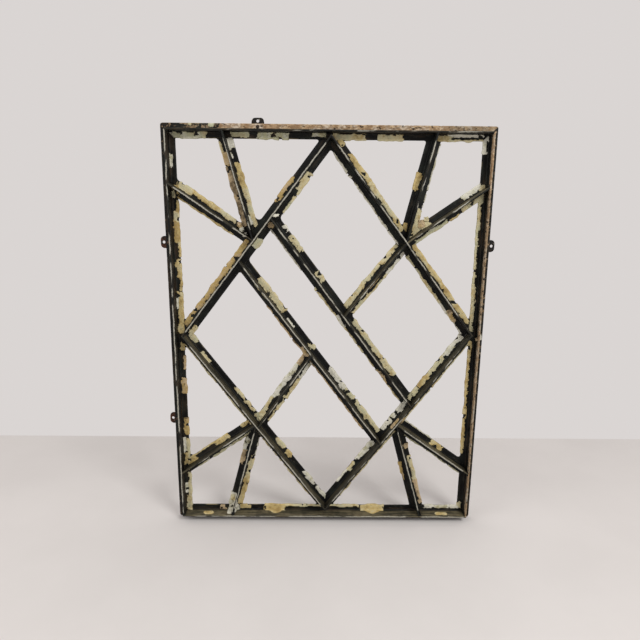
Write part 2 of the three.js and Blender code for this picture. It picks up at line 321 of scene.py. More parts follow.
def soften(piece, steps):
    modifier = piece.modifiers.new("soften", "SMOOTH")
    modifier.factor = 0.5
    modifier.iterations = steps
    apply_modifiers(piece)


def add_attribute(mesh, name, values):
    attribute = mesh.attributes.new(name, "FLOAT", "POINT")
    attribute.data.foreach_set("value", values.astype(np.float32))


def bar_axes(mesh):
    """The bar's own axes, from its longest edge: across, towards the room, and along."""
    points = coordinates(mesh)
    edges = np.empty(len(mesh.edges) * 2, np.int64)
    mesh.edges.foreach_get("vertices", edges)
    edges = edges.reshape(-1, 2)
    spans = points[edges[:, 1]] - points[edges[:, 0]]
    spans[np.abs(spans[:, 1]) > 1e-5] = 0.0
    along = spans[np.argmax((spans**2).sum(1))]
    along /= np.linalg.norm(along)
    across = np.array([along[2], 0.0, -along[0]])
    if abs(across[0]) > 1e-3:
        across *= math.copysign(1.0, across[0])
    else:
        across *= math.copysign(1.0, across[2])
    along = np.array([-across[2], 0.0, across[0]])
    if abs(along[2]) > abs(along[0]):
        along *= math.copysign(1.0, along[2])
    else:
        along *= math.copysign(1.0, along[0])
    stem = points[points[:, 1] < FLANGE_BACK - SECTION_DEPTH + 0.0005] @ across
    return across, along, (stem.min() + stem.max()) / 2


END_ZONE = 0.06
END_REACH = 0.0015


class Bar:
    """A bar's axes, and its points measured along them."""

    def __init__(self, name):
        mesh = frame["nodes"][name].data
        self.name = name
        self.across, self.along, self.middle = bar_axes(mesh)
        self.axis = 2 if abs(self.along[2]) > abs(self.along[0]) else 0
        points = coordinates(mesh)
        reach = points @ self.along
        self.low, self.high = reach.min(), reach.max()
        stem = reach[points[:, 1] < FLANGE_BACK - SECTION_DEPTH + 0.0005]
        self.stem_low, self.stem_high = stem.min(), stem.max()

    def local(self, points):
        """Across from the stem's middle, height off the flange's back, and along the bar."""
        return np.stack(
            [points @ self.across - self.middle, FLANGE_BACK - points[:, 1], points @ self.along], 1
        )

    def world(self, local):
        """The inverse of local, for an array of points."""
        plan = np.outer(local[:, 0] + self.middle, self.across) + np.outer(local[:, 2], self.along)
        plan[:, 1] = FLANGE_BACK - local[:, 1]
        return plan

    def station(self, value_mm, side):
        """Where a height or distance in mm, seen on one half of the flange, is along the bar."""
        value = value_mm * MM - (self.middle + side * MIDDLE_OF_HALF) * self.across[self.axis]
        return value / self.along[self.axis]


def rounded_corner(past_end, past_side, radius):
    """How far outside a patch a point is, from how far it is past its end and past its side."""
    over_end, over_side = past_end + radius, past_side + radius
    outside = np.hypot(np.maximum(over_end, 0.0), np.maximum(over_side, 0.0))
    return outside + np.minimum(np.maximum(over_end, over_side), 0.0) - radius


# A distance, in mm, that is well outside any patch.
FAR_AWAY = 99.0

# The share of steps in the chip noise, from -1 to 1, above which a flake is missing.
FLAKE_LOST = 0.89

# The highest that a patch on the flange reaches up the root of the stem.
PUTTY_TOP = 0.0085


def putty_field(bar, local, points):
    """For each point, how far outside the nearest putty patch it is, in mm, and its tone."""
    distance = np.full(len(local), FAR_AWAY)
    tone = np.full(len(local), C)
    torn = 0.5 * noise(points, 0.0035, 19)
    end_wave = 1.6 * layered(points, 0.022, 2, 5) + 2.6 * chips(points, 0.0085, 9) + torn
    side_wave = 1.5 * layered(points, 0.017, 2, 15) + 2.0 * chips(points, 0.0095, 29) + torn
    margin = 1.3 * noise(points, 0.012, 25) - 0.5
    missing = np.where(chips(points, 0.0075, 33) > FLAKE_LOST, 1.2, -FAR_AWAY)
    width = np.abs(local[:, 0])
    for side, low, high, patch_tone, reach in PATCHES.get(bar.name, []):
        a, b = sorted((bar.station(low, side), bar.station(high, side)))
        past_end = np.maximum(a - local[:, 2], local[:, 2] - b) / MM + end_wave
        if reach > 0:
            inner = HALF_FLANGE - reach * (HALF_FLANGE - HALF_STEM)
            past_side = (inner - width) / MM + side_wave * min(1.0, 2.5 * reach)
            past_side = np.maximum(past_side, (width - HALF_FLANGE) / MM + margin)
        else:
            outer = HALF_STEM - reach * (HALF_FLANGE - HALF_STEM)
            past_side = (width - outer) / MM + 0.5 * side_wave
        wrong_half = np.where(local[:, 0] * side > 0, -FAR_AWAY, FAR_AWAY)
        d = np.maximum(rounded_corner(past_end, past_side, min(2.5, 6.0 * abs(reach))), wrong_half)
        if reach <= 1.0:
            d = np.maximum(d, missing)
        nearer = d < distance
        distance = np.where(nearer, d, distance)
        tone = np.where(nearer, patch_tone, tone)
    off_front = np.maximum(FLANGE_THICKNESS * 0.22 - local[:, 1], local[:, 1] - PUTTY_TOP)
    distance = np.maximum(distance, off_front / MM * 4.0)
    for side, low, high, patch_tone, lowest, highest, taper in STEM_PATCHES.get(bar.name, []):
        a, b = sorted((bar.station(low, side), bar.station(high, side)))
        height = local[:, 1] / MM
        past_end = np.maximum(a - local[:, 2], local[:, 2] - b) / MM + 0.4 * end_wave
        past_end += taper * np.maximum(height - lowest, 0.0)
        past_height = np.maximum(lowest - height, height - highest) + 0.4 * side_wave
        off_side = np.where((local[:, 0] * side > 0.001) & (width < 0.009), -FAR_AWAY, FAR_AWAY)
        d = np.maximum(rounded_corner(past_end, past_height, 5.0), off_side)
        nearer = d < distance
        distance = np.where(nearer, d, distance)
        tone = np.where(nearer, patch_tone, tone)
    return distance, tone


def rust_field(bar, local, points):
    """How rusted each point is, from 0 to 1."""
    side = OUTER_SIDE.get(bar.name)
    back = 0.22 * (local[:, 1] < 0.0006)
    if side is None:
        return 0.1 + back
    station = points[:, bar.axis] / MM + 16.0 * layered(points, 0.02, 2, 41)
    amount = np.zeros(len(local))
    for low, high, share in RUST[bar.name]:
        amount = np.where((station >= low) & (station <= high), share, amount)
    outer = smooth_step(HALF_STEM, HALF_STEM + 0.0045, local[:, 0] * side)
    if bar.name == "right_stile":
        # Here it is the stem's front that is bare, and the outer half behind it is dark.
        front = smooth_step(0.0205, 0.0225, local[:, 1] + 0.002 * noise(points, 0.012, 43))
        return np.maximum(amount * front, 0.1 + 0.3 * outer * (1.0 - front))
    return np.maximum(amount * outer + 0.1 * (1.0 - outer), back + 0.05)


# How far putty and thick paint stand up, and how far they reach past the flange's edge.
PUTTY_THINNEST, PUTTY_THICKEST = 0.0005, 0.0022
LONGEST_OVERHANG = 0.0028


def putty_relief(bar, local, points, distance):
    """How far the putty lifts each point, and how far it pushes it past the flange's edge."""
    thickness = 0.0010 + 0.0006 * layered(points, 0.012, 2, 6) + 0.0002 * noise(points, 0.003, 7)
    thickness += 0.00035 * chips(points, 0.011, 16)
    raised = smooth_step(0.4, -0.6, distance)
    at_edge = smooth_step(HALF_FLANGE - 0.0014, HALF_FLANGE - 0.0003, np.abs(local[:, 0]))
    overhang = np.clip(0.0011 + 0.0013 * layered(points, 0.013, 2, 8), 0.0, LONGEST_OVERHANG)
    overhang *= at_edge * raised * (local[:, 0] * OUTER_SIDE.get(bar.name, 0) <= 0)
    overhang *= smooth_step(0.0009, 0.0022, local[:, 1])
    return raised * np.clip(thickness, PUTTY_THINNEST, PUTTY_THICKEST), overhang


def surface_relief(points, rust):
    """The slight waves of rolled iron, and the pits and blisters of rust."""
    waves = 0.00016 * layered(points, 0.03, 2, 1) + 0.00010 * layered(points, 0.006, 2, 2)
    pits = smooth_step(0.15, 0.75, layered(points, 0.0045, 2, 3))
    return waves + rust * (0.00022 * layered(points, 0.009, 3, 4) - 0.0004 * pits)


def record_wear_and_painted_light(mesh, bar, local, distance, tone, rust):
    """Keeps what the paint has to know at each point: its putty, rust and wear, the pale stem line of
    wear and painted highlight, and dust with a painted sheen.
    """
    to_end = np.minimum(local[:, 2] - bar.low, bar.high - local[:, 2])
    at_front = smooth_step(SECTION_DEPTH - 0.0018, SECTION_DEPTH - 0.0006, local[:, 1])
    at_front *= smooth_step(0.012, 0.024, to_end)
    at_rim = smooth_step(HALF_FLANGE - 0.0016, HALF_FLANGE - 0.0002, np.abs(local[:, 0]))
    facing_up = bar.across[2] * np.sign(local[:, 0])
    on_stem = smooth_step(0.005, 0.009, local[:, 1]) * (np.abs(local[:, 0]) < 0.006)
    add_attribute(mesh, "putty", distance)
    add_attribute(mesh, "tone", tone)
    add_attribute(mesh, "rust", rust)
    # The pale line along the stem's front is worn paint, and a painted highlight of the lit stem.
    add_attribute(mesh, "stem_front", at_front * FRONT_WEAR_AND_HIGHLIGHT[bar.name])
    add_attribute(mesh, "rim", at_rim)
    # This lightens the stem's upward side: real dust, and a painted sheen of the light falling on it.
    add_attribute(mesh, "dust_and_sheen", DUST_AND_SHEEN.get(bar.name, 0.2) * smooth_step(0.2, 0.75, facing_up) * on_stem)
    for k, name in enumerate(("side", "height", "run")):
        add_attribute(mesh, name, local[:, k] / MM)


def make_bar(name, voxel):
    """A bar's worn copy: its own section, mitres and copes, with rust and putty on them."""
    bar = Bar(name)
    piece = copy_of_node(name)
    # Meshed along its own axes, so that the mesh runs along the bar. Its ends reach a little
    # into the neighbours, so that the joints are closed as welded ones are.
    local = bar.local(coordinates(piece.data))
    near_low = local[:, 2] < bar.low + END_ZONE
    near_high = local[:, 2] > bar.high - END_ZONE
    local[:, 2] += END_REACH * (near_high * 1.0 - near_low * 1.0)
    set_coordinates(piece.data, local)
    remesh(piece, voxel)
    soften(piece, 3)
    mesh = piece.data
    local = coordinates(mesh)
    normal = normals_of(mesh)
    points = bar.world(local)

    rust = rust_field(bar, local, points)
    distance, tone = putty_field(bar, local, points)
    raised, overhang = putty_relief(bar, local, points, distance)
    lift = surface_relief(points, rust) + raised
    local[:, 0] += np.sign(local[:, 0]) * overhang
    # Nothing stands proud of the back, the stem's front or the frame's outer faces.
    flush = local[:, 0] * OUTER_SIDE.get(name, 0) > HALF_FLANGE - 0.0006
    flush |= local[:, 1] < 0.0005
    flush |= local[:, 1] > SECTION_DEPTH - 0.0008
    local += normal * np.where(flush, np.minimum(lift, 0.0), lift)[:, None]

    record_wear_and_painted_light(mesh, bar, local, distance, tone, rust)
    set_coordinates(mesh, bar.world(local))
    # The bar's own axes may be left-handed, and then its faces are turned inside out.
    if np.dot(np.cross(bar.across, (0, -1, 0)), bar.along) < 0:
        mesh.flip_normals()
    mesh.shade_smooth()
    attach(piece, "root")
    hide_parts(name)
    return piece


# --------------------------------------------------------------------------------- materials


class Nodes:
    """Builds a material's node tree with short calls."""

    def __init__(self, name):
        self.material = bpy.data.materials.new(name)
        self.material.use_nodes = True
        self.tree = self.material.node_tree
        self.tree.nodes.clear()
        self.shader = self.add("ShaderNodeBsdfPrincipled")
        output = self.add("ShaderNodeOutputMaterial")
        self.tree.links.new(self.shader.outputs[0], output.inputs[0])
        self.place = self.add("ShaderNodeTexCoord").outputs["Object"]

    def add(self, kind, **settings):
        node = self.tree.nodes.new(kind)
        for key, value in settings.items():
            setattr(node, key, value)
        return node

    def feed(self, socket, value):
        if isinstance(value, bpy.types.NodeSocket):
            self.tree.links.new(value, socket)
        else:
            socket.default_value = value

    def attribute(self, name):
        return self.add("ShaderNodeAttribute", attribute_name=name).outputs["Fac"]

    def noise(self, size_mm, detail=3.0, roughness=0.55, stretch=None):
        node = self.add("ShaderNodeTexNoise")
        self.feed(node.inputs["Vector"], self.stretched(stretch))
        self.feed(node.inputs["Scale"], 1000.0 / size_mm)
        self.feed(node.inputs["Detail"], detail)
        self.feed(node.inputs["Roughness"], roughness)
        return node.outputs["Fac"]

    def cracks(self, size_mm):
        """The distance to the nearest crack, from crazing of a given size that wanders a little."""
        wander = self.add("ShaderNodeTexNoise")
        self.feed(wander.inputs["Vector"], self.place)
        self.feed(wander.inputs["Scale"], 2500.0 / size_mm)
        shifted = self.add("ShaderNodeVectorMath", operation="MULTIPLY_ADD")
        self.tree.links.new(wander.outputs["Color"], shifted.inputs[0])
        shifted.inputs[1].default_value = (size_mm * MM * 0.5,) * 3
        self.tree.links.new(self.place, shifted.inputs[2])
        node = self.add("ShaderNodeTexVoronoi", feature="DISTANCE_TO_EDGE")
        self.tree.links.new(shifted.outputs[0], node.inputs["Vector"])
        self.feed(node.inputs["Scale"], 1000.0 / size_mm)
        return node.outputs["Distance"]

    def stretched(self, stretch):
        """Object coordinates, or the bar's own (side, height, run) stretched along it."""
        if stretch is None:
            return self.place
        node = self.add("ShaderNodeCombineXYZ")
        for i, (name, factor) in enumerate(zip(("side", "height", "run"), stretch)):
            self.feed(node.inputs[i], self.math("MULTIPLY", self.attribute(name), factor * MM))
        return node.outputs[0]

    def math(self, operation, a, b=None, c=None):
        node = self.add("ShaderNodeMath", operation=operation)
        for socket, value in zip(node.inputs, (a, b, c)):
            if value is not None:
                self.feed(socket, value)
        return node.outputs[0]

    def centred(self, value, amount):
        """A value from 0 to 1, turned into one that swings about zero."""
        return self.math("MULTIPLY", self.math("SUBTRACT", value, 0.5), amount)

    def ramp(self, value, low, high, to_low=0.0, to_high=1.0):
        node = self.add("ShaderNodeMapRange", interpolation_type="SMOOTHSTEP")
        limits = {"From Min": low, "From Max": high, "To Min": to_low, "To Max": to_high}
        for key, number in limits.items():
            self.feed(node.inputs[key], number)
        self.feed(node.inputs["Value"], value)
        return node.outputs[0]

    def colours(self, value, stops):
        node = self.add("ShaderNodeValToRGB")
        elements = node.color_ramp.elements
        elements[0].position, elements[1].position = stops[0][0], stops[-1][0]
        elements[0].color, elements[1].color = (*stops[0][1], 1.0), (*stops[-1][1], 1.0)
        for position, colour in stops[1:-1]:
            elements.new(position).color = (*colour, 1.0)
        self.feed(node.inputs[0], value)
        return node.outputs[0]

    def mix(self, factor, a, b):
        node = self.add("ShaderNodeMix", data_type="RGBA")
        self.feed(node.inputs[0], factor)
        self.feed(node.inputs[6], (*a, 1.0) if isinstance(a, tuple) else a)
        self.feed(node.inputs[7], (*b, 1.0) if isinstance(b, tuple) else b)
        return node.outputs[2]

    def blend(self, factor, a, b):
        node = self.add("ShaderNodeMix", data_type="FLOAT")
        for socket, value in zip((node.inputs[0], node.inputs[2], node.inputs[3]), (factor, a, b)):
            self.feed(socket, value)
        return node.outputs[0]

    def finish(self, colour, roughness, height, relief_mm):
        bump = self.add("ShaderNodeBump")
        self.feed(bump.inputs["Height"], height)
        self.feed(bump.inputs["Distance"], relief_mm * MM)
        self.feed(bump.inputs["Strength"], 1.0)
        self.feed(self.shader.inputs["Base Color"], colour)
        self.feed(self.shader.inputs["Roughness"], roughness)
        self.feed(self.shader.inputs["Normal"], bump.outputs[0])
        return self.material


def srgb(r, g, b):
    """A colour given as 0 to 255 on screen."""
    return tuple(((v / 255 + 0.055) / 1.055) ** 2.4 if v > 10 else v / 255 / 12.92 for v in (r, g, b))


BLACK = srgb(12, 12, 11)
DARK_GREEN = srgb(26, 29, 25)
WORN_GREY = srgb(84, 82, 74)
BROWN = srgb(62, 50, 36)
DEEP_BROWN = srgb(36, 28, 20)
RUST_BROWN = srgb(104, 76, 52)
RUST_RED = srgb(98, 60, 44)
RUST_TAN = srgb(156, 128, 98)
RUST_OCHRE = srgb(174, 150, 118)
PALE_TAN = srgb(194, 180, 160)
RUST_GREY = srgb(96, 86, 67)
TAN = srgb(150, 128, 98)
# Colours of the upward stem faces: dust, with a painted sheen of light on them.
DUST_AND_SHEEN_DARK = srgb(66, 62, 48)
DUST_AND_SHEEN_PALE = srgb(104, 96, 74)
LINE_DARK = srgb(120, 117, 104)
LINE_PALE = srgb(184, 181, 168)
RIM_TAN = srgb(160, 146, 108)
PUTTY_DIRT = srgb(128, 110, 78)
PUTTY_EDGE_DARK = srgb(96, 84, 58)
PUTTY_COLOURS = [
    (W, srgb(200, 197, 182)), (G, srgb(172, 171, 140)), (C, srgb(192, 182, 146)),
    (Y, srgb(186, 167, 116)), (O, srgb(162, 138, 86)), (T, srgb(188, 167, 133)),
    (B, srgb(112, 98, 76)),
]


def black_paint(n, fine, broad, brown):
    """Black paint, faded to green-grey, with brown streaks, scuffs, and dust with a painted sheen on the
    upward faces.
    """
    streaks = n.noise(7.0, 3.0, stretch=(1.0, 1.0, 0.12))
    paint = n.mix(n.ramp(broad, 0.42, 0.66), BLACK, DARK_GREEN)
    stain = n.math("ADD", streaks, n.math("MULTIPLY", broad, 0.4))
    stain = n.ramp(stain, 0.80 - brown, 1.02 - brown)
    paint = n.mix(n.math("MULTIPLY", stain, 0.85), paint, n.mix(fine, DEEP_BROWN, BROWN))
    scuffs = n.ramp(n.noise(3.0, 4.0, stretch=(1.0, 1.0, 0.25)), 0.62, 0.72)
    paint = n.mix(n.math("MULTIPLY", scuffs, 0.4), paint, WORN_GREY)
    # Grey-brown dust, and a painted sheen of light, lighten the faces that look up.
    patchy = n.ramp(n.noise(12.0, 4.0, 0.6), 0.3, 0.6, 0.45, 1.0)
    dust_and_sheen_mask = n.math("MULTIPLY", n.attribute("dust_and_sheen"), patchy)
    return n.mix(dust_and_sheen_mask, paint, n.mix(n.ramp(streaks, 0.4, 0.6), DUST_AND_SHEEN_DARK, DUST_AND_SHEEN_PALE))


def bare_rust(n):
    """Tan and ochre rust with brown and dark specks, and where it shows."""
    rust = n.attribute("rust")
    shown = n.math("ADD", rust, n.centred(n.noise(9.0, 5.0, 0.65), 1.3))
    shades = [(0.36, RUST_TAN), (0.50, RUST_OCHRE), (0.64, PALE_TAN)]
    colour = n.colours(n.noise(16.0, 4.0, 0.6), shades)
    specks = n.ramp(n.noise(5.0, 5.0, 0.66, (1.0, 1.0, 0.6)), 0.56, 0.46)
    colour = n.mix(n.math("MULTIPLY", specks, 0.6), colour, RUST_BROWN)
    pits = n.ramp(n.noise(6.0, 4.0, 0.6, (1.0, 1.0, 0.55)), 0.41, 0.36)
    colour = n.mix(n.math("MULTIPLY", pits, 0.9), colour, DEEP_BROWN)
    # Where the rust is thin it is dull and grey.
    thin = n.math("MULTIPLY", n.ramp(rust, 0.95, 0.6), 0.45)
    return n.mix(thin, colour, RUST_GREY), n.ramp(shown, 0.48, 0.58)


def worn_and_highlit_lines(n, colour, fine, broad):
    """Adds the broken pale line along the stem's front, which is worn paint and a painted highlight, and
    the worn rim of the flange.
    """
    wear_and_highlight_noise = n.noise(9.0, 4.0, stretch=(1.0, 1.0, 0.2))
    front = n.attribute("stem_front")
    bare_and_highlit = n.math("ADD", wear_and_highlight_noise, n.math("MULTIPLY", front, 0.26))
    drift = n.ramp(broad, 0.3, 0.7, -0.6, 0.6)
    off_line = n.math("ABSOLUTE", n.math("ADD", n.attribute("side"), drift))
    off_line = n.math("ADD", off_line, n.ramp(n.noise(2.6, 4.0, 0.6), 0.3, 0.7, -0.5, 0.5))
    line = n.math("MULTIPLY", n.ramp(front, 0.0, 0.08), n.ramp(bare_and_highlit, 0.58, 0.66))
    line = n.math("MULTIPLY", line, n.ramp(off_line, 1.45, 1.0))
    colour = n.mix(n.math("MULTIPLY", line, 0.9), colour, n.mix(fine, LINE_DARK, LINE_PALE))
    rim = n.math("MULTIPLY", n.attribute("rim"), n.ramp(wear_and_highlight_noise, 0.54, 0.64))
    return n.mix(n.math("MULTIPLY", rim, 0.6), colour, RIM_TAN)


def old_putty(n):
    """Putty and cream paint with dirt, flecks and cracks; where it lies; and its cracks."""
    inside = n.math("ADD", n.attribute("putty"), n.centred(n.noise(3.2, 3.0, 0.5), 1.6))
    tone = n.math("ADD", n.attribute("tone"), n.centred(n.noise(15.0, 4.0), 0.8))
    colour = n.colours(tone, PUTTY_COLOURS)
    dirt = n.ramp(n.noise(15.0, 4.0, 0.6), 0.52, 0.72)
    colour = n.mix(n.math("MULTIPLY", dirt, 0.35), colour, PUTTY_DIRT)
    flecks = n.ramp(n.noise(4.5, 4.0, 0.6), 0.65, 0.69)
    colour = n.mix(n.math("MULTIPLY", flecks, 0.7), colour, DEEP_BROWN)
    crazed = n.ramp(n.noise(21.0, 2.0), 0.48, 0.58)
    crack = n.math("MULTIPLY", n.ramp(n.cracks(11.0), 0.022, 0.008), crazed)
    colour = n.mix(n.math("MULTIPLY", crack, 0.5), colour, DEEP_BROWN)
    # Each putty patch is darker towards its edge.
    edge_dark = n.math("MULTIPLY", n.ramp(inside, -1.3, 0.0), 0.35)
    return n.mix(edge_dark, colour, PUTTY_EDGE_DARK), n.ramp(inside, 0.25, -0.15), crack


def weathered_paint(name, brown, gloss):
    """Old black paint over rust, with putty flakes, worn edges and brown stains."""
    n = Nodes(name)
    fine = n.noise(2.2, 3.0)
    broad = n.noise(26.0, 4.0)
    rust_colour, rusted = bare_rust(n)
    putty_colour, putty, crack = old_putty(n)
    colour = n.mix(rusted, black_paint(n, fine, broad, brown), rust_colour)
    colour = worn_and_highlit_lines(n, colour, fine, broad)
    colour = n.mix(putty, colour, putty_colour)

    satin = n.ramp(fine, 0.3, 0.7, gloss, gloss + 0.22)
    roughness = n.blend(putty, n.blend(rusted, satin, 0.9), 0.88)
    grain = n.math("MULTIPLY", n.noise(0.9, 2.0), 0.15)
    relief = n.math("ADD", n.math("MULTIPLY", fine, 0.35), grain)
    crust = n.math("SUBTRACT", 0.5, n.math("MULTIPLY", crack, 0.5))
    relief = n.math("ADD", relief, n.math("MULTIPLY", putty, crust))
    blisters = n.math("MULTIPLY", n.noise(1.6, 4.0), 0.8)
    relief = n.math("ADD", relief, n.math("MULTIPLY", rusted, blisters))
    n.shader.inputs["Specular IOR Level"].default_value = 0.16
    return n.finish(colour, roughness, relief, 0.4)


def aged_iron(name, base, worn, gloss):
    """Dark painted iron, worn bright on the high spots and rusty in the hollows."""
    n = Nodes(name)
    broad = n.noise(8.0, 4.0, 0.6)
    fine = n.noise(1.4, 4.0, 0.6)
    colour = n.mix(n.ramp(broad, 0.45, 0.62), base, DEEP_BROWN)
    colour = n.mix(n.math("MULTIPLY", n.ramp(fine, 0.62, 0.74), 0.35), colour, worn)
    chipped = n.ramp(n.noise(5.5, 4.0, 0.55), 0.64, 0.67)
    colour = n.mix(n.math("MULTIPLY", chipped, 0.75), colour, worn)
    rusty = n.math("ADD", n.noise(4.0, 5.0, 0.7), n.math("MULTIPLY", n.attribute("rust"), 0.14))
    rusty = n.ramp(rusty, 0.60, 0.70)
    colour = n.mix(n.math("MULTIPLY", rusty, 0.6), colour, RUST_RED)
    roughness = n.blend(rusty, n.ramp(fine, 0.3, 0.7, gloss, gloss + 0.2), 0.9)
    relief = n.math("ADD", n.math("MULTIPLY", broad, 0.7), n.math("MULTIPLY", fine, 0.3))
    n.shader.inputs["Specular IOR Level"].default_value = 0.2
    return n.finish(colour, roughness, relief, 0.5)


MATERIALS = {
    "frame_paint": weathered_paint("frame_paint_look", 0.15, 0.42),
    "rusted_paint": weathered_paint("rusted_paint_look", 0.12, 0.46),
    "bar_paint": weathered_paint("bar_paint_look", 0.06, 0.42),
    "lug_paint": aged_iron("lug_paint_look", BLACK, srgb(138, 130, 112), 0.42),
    "rivet_steel": aged_iron("rivet_steel_look", srgb(60, 50, 42), TAN, 0.55),
}
SLOT_OF = {row["node"]: row["material_slot"] for row in frame["record"]["subparts"]}


def dress(piece, slot):
    piece.data.materials.clear()
    piece.data.materials.append(MATERIALS[slot])


# ------------------------------------------------------------------------------------- build

VOXEL = 0.0011
bars = [name for name in sorted(frame["nodes"]) if not name.startswith(("lug", "rivet"))]
for name in bars:
    dress(make_bar(name, VOXEL), SLOT_OF[name])


def make_small(name, voxel, relief):
    """A lug or a rivet, with forged, softened edges and an uneven surface."""
    piece = copy_of_node(name)
    remesh(piece, voxel)
    soften(piece, 3)
    points = coordinates(piece.data)
    lift = relief * layered(points, 0.006, 3, 31)
    set_coordinates(piece.data, points + normals_of(piece.data) * lift[:, None])
    # The lugs on the left are the rustiest.
    add_attribute(piece.data, "rust", np.full(len(points), 1.0 if "left" in name else 0.0))
    piece.data.shade_smooth()
    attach(piece, "root")
    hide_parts(name)
    return piece


for name in sorted(frame["nodes"]):
    if name.startswith("lug"):
        dress(make_small(name, 0.0004, 0.00022), SLOT_OF[name])
    elif name.startswith("rivet"):
        dress(make_small(name, 0.0003, 0.00018), SLOT_OF[name])

# ------------------------------------------------------------------------------------ joints

# Every pane, by the bars around it in turn, a point inside it in mm, and the corners that are
# rounded more than the others, as the bar before the corner and the radius in mm.
PANES = [
    (
        ("top_rail", "left_stile", "corner_top_left_flat", "corner_top_left_steep"),
        (-265, 815), {"left_stile": 9.0},
    ),
    (
        ("top_rail", "diamond_upper_left", "corner_top_left_steep"),
        (-120, 810), {"diamond_upper_left": 9.0},
    ),
    (
        ("corner_top_left_flat", "left_stile", "diamond_upper_left"),
        (-280, 630), {"left_stile": 5.0},
    ),
    (
        ("right_stile", "top_rail", "corner_top_right_steep", "corner_top_right_flat"),
        (265, 815), {},
    ),
    (("top_rail", "diamond_upper_right", "corner_top_right_steep"), (120, 810), {"top_rail": 4.0}),
    (
        ("corner_top_right_flat", "right_stile", "diamond_upper_right"),
        (280, 630), {"right_stile": 5.0},
    ),
    (
        ("left_stile", "bottom_rail", "corner_bottom_left_steep", "corner_bottom_left_flat"),
        (-265, 75), {},
    ),
    (("bottom_rail", "diamond_lower_left", "corner_bottom_left_steep"), (-120, 80), {}),
    (
        ("left_stile", "corner_bottom_left_flat", "diamond_lower_left"),
        (-280, 270), {"left_stile": 8.0, "diamond_lower_left": 4.0},
    ),
    (
        ("right_stile", "bottom_rail", "corner_bottom_right_steep", "corner_bottom_right_flat"),
        (265, 75), {},
    ),
    (("bottom_rail", "diamond_lower_right", "corner_bottom_right_steep"), (120, 80), {}),
    (
        ("right_stile", "corner_bottom_right_flat", "diamond_lower_right"),
        (280, 270), {"right_stile": 4.0, "corner_bottom_right_flat": 6.0},
    ),
    (
        ("diamond_upper_left", "diamond_upper_right", "short_bar_upper", "long_bar_upper"),
        (21, 683), {"long_bar_upper": 9.0},
    ),
    (
        ("diamond_upper_right", "diamond_lower_right", "long_bar_upper", "short_bar_upper"),
        (176, 472), {},
    ),
    (
        ("long_bar_upper", "diamond_lower_right", "long_bar_lower", "diamond_upper_left"),
        (0, 452), {"long_bar_lower": 9.0},
    ),
    (
        ("diamond_upper_left", "long_bar_lower", "short_bar_lower", "diamond_lower_left"),
        (-175, 426), {"diamond_upper_left": 4.0, "short_bar_lower": 5.0},
    ),
    (
        ("long_bar_lower", "diamond_lower_right", "diamond_lower_left", "short_bar_lower"),
        (-16, 219), {},
    ),
]
FLANGE_FRONT = FLANGE_BACK - FLANGE_THICKNESS


def crossing(a, side_a, b, side_b, offset):
    """Where two bars' edges cross, in plan, at an offset from their middles."""
    rows = np.array([[a.across[0], a.across[2]], [b.across[0], b.across[2]]])
    return np.linalg.solve(rows, [a.middle + side_a * offset, b.middle + side_b * offset])


def prism(rings, outline, low, high):
    """Adds a closed prism over a plan outline, between two depths, to lists of points and faces."""
    points, faces = rings
    start = len(points)
    count = len(outline)
    for depth in (high, low):
        points.extend((x, depth, z) for x, z in outline)
    faces.append(tuple(start + i for i in range(count)))
    faces.append(tuple(start + count + i for i in reversed(range(count))))
    for i in range(count):
        j = (i + 1) % count
        faces.append((start + i, start + count + i, start + count + j, start + j))


def corner_outline(point, toward_a, toward_b, radius):
    """A web in a corner: its two sides lie on the flanges' edges and its front is a hollow arc."""
    half = math.acos(np.clip(toward_a @ toward_b, -1.0, 1.0)) / 2
    reach = min(radius / math.tan(half), 0.016)
    radius = reach * math.tan(half)
    bisector = (toward_a + toward_b) / np.linalg.norm(toward_a + toward_b)
    centre = point + bisector * (radius / math.sin(half))
    start = point + toward_a * reach - centre
    end = point + toward_b * reach - centre
    sweep = math.atan2(start[0] * end[1] - start[1] * end[0], start @ end)
    arc = []
    for k in range(9):
        turn = sweep * k / 8
        c, s = math.cos(turn), math.sin(turn)
        arc.append(centre + np.array([c * start[0] - s * start[1], s * start[0] + c * start[1]]))
    back = point - bisector * 0.0025
    sink_a = point + toward_a * reach - (bisector - toward_a * (bisector @ toward_a)) * 0.002
    sink_b = point + toward_b * reach - (bisector - toward_b * (bisector @ toward_b)) * 0.002
    return [sink_a, *arc, sink_b, back]


# How far past a stem's end a seam may lie, and a weld run's radius, sides and shift out of
# its corner.
SEAM_SLACK = 0.002
WELD_RADIUS = 0.0019
WELD_SIDES = 10
WELD_SHIFT = 0.0004


def plan(vector):
    """A direction in space as seen from the front."""
    return np.array([vector[0], vector[2]])


def weld_ring(seam, ways):
    """The outline of a weld run, just out of the corner that it fills."""
    bisector = (ways[0] + ways[1]) / np.linalg.norm(ways[0] + ways[1])
    centre = seam + bisector * WELD_SHIFT
    turns = np.linspace(0.0, 2.0 * math.pi, WELD_SIDES, endpoint=False)
    return [centre + WELD_RADIUS * np.array([math.cos(t), math.sin(t)]) for t in turns]


